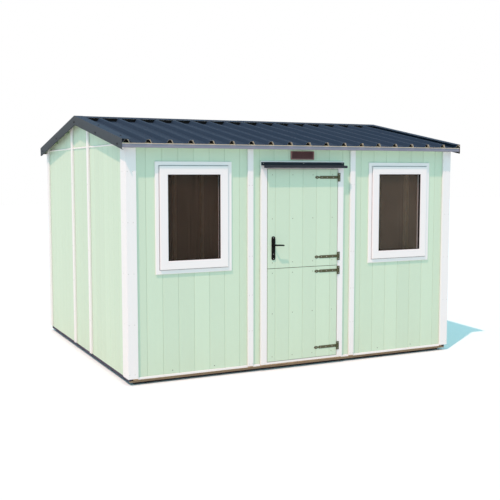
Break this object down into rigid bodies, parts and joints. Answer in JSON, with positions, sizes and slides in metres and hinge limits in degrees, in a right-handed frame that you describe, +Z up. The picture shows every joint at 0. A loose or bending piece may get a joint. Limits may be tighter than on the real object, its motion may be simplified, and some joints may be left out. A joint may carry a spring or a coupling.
{
  "type": "garden workshop",
  "caption": "Timber garden workshop with a low box-profile steel roof, two fixed windows and a stable door of two leaves that swing on strap hinges.",
  "frame": {"origin": "on the ground under the middle of the building", "axes": "+X along the front to the right as seen from the front, +Y from the front to the back, +Z up"},
  "size_m": [3.666, 3.202, 2.4749],
  "materials": {
    "floor_timber": "planed timber floor, pressure treated",
    "runner_timber": "sawn timber, pressure treated",
    "framing_timber": "sawn timber framing",
    "mint_paint": "tongued and grooved boards with satin pale green paint",
    "white_paint": "planed boards with satin white paint",
    "window_white": "smooth white window profile",
    "glass": "clear flat glass",
    "roof_steel": "slate blue coated steel, satin",
    "flashing_steel": "dark grey coated steel, satin",
    "hood_black": "black coated metal",
    "vent_brown": "dark brown louvre vent",
    "hinge_bronze": "dark bronze coated steel",
    "handle_black": "black coated handle"
  },
  "bodies": {
    "root": {"floor_deck": "floor_timber", "floor_runners": "runner_timber", "front_wall_left": "mint_paint", "front_wall_right": "mint_paint", "front_wall_beside_door": "mint_paint", "front_wall_over_door": "mint_paint", "back_wall": "mint_paint", "left_wall": "mint_paint", "right_wall": "mint_paint", "left_gable": "mint_paint", "right_gable": "mint_paint", "wall_studs": "framing_timber", "long_wall_rails": "framing_timber", "side_wall_rails": "framing_timber", "rafters": "framing_timber", "ridge_beam": "framing_timber", "purlins": "framing_timber", "eaves_fillets": "framing_timber", "front_roof_sheet": "roof_steel", "back_roof_sheet": "roof_steel", "ridge_cap": "roof_steel", "left_verge_flashing": "flashing_steel", "right_verge_flashing": "flashing_steel", "eaves_trims": "flashing_steel", "corner_boards": "white_paint", "long_side_strips": "white_paint", "gable_strips": "white_paint", "base_trims": "white_paint", "left_window_casing": "window_white", "left_window_sash": "window_white", "left_window_pane": "glass", "right_window_casing": "window_white", "right_window_sash": "window_white", "right_window_pane": "glass", "door_posts": "white_paint", "door_head_and_sill": "white_paint", "door_hood": "hood_black", "door_vent": "vent_brown", "hinge_plates": "hinge_bronze"},
    "upper_leaf": {"upper_leaf": "mint_paint", "upper_leaf_straps": "hinge_bronze", "handle_plate": "handle_black"},
    "lower_leaf": {"lower_leaf": "mint_paint", "lower_leaf_straps": "hinge_bronze"},
    "lever": {"door_lever": "handle_black"}
  },
  "joints": [
    {"name": "upper_leaf_swing", "type": "hinge", "parent": "root", "child": "upper_leaf", "pos_m": [0.3845, -1.5295, 0.987], "axis": [0, 0, 1], "range_deg": [0, 110]},
    {"name": "lower_leaf_swing", "type": "hinge", "parent": "root", "child": "lower_leaf", "pos_m": [0.3845, -1.5295, 0.085], "axis": [0, 0, 1], "range_deg": [0, 110]},
    {"name": "lever_turn", "type": "hinge", "parent": "upper_leaf", "child": "lever", "pos_m": [-0.332, -1.543, 1.211], "axis": [0, 1, 0], "range_deg": [0, 40], "stiffness_Nm_per_rad": 0.6, "springref_deg": -28.65}
  ]
}
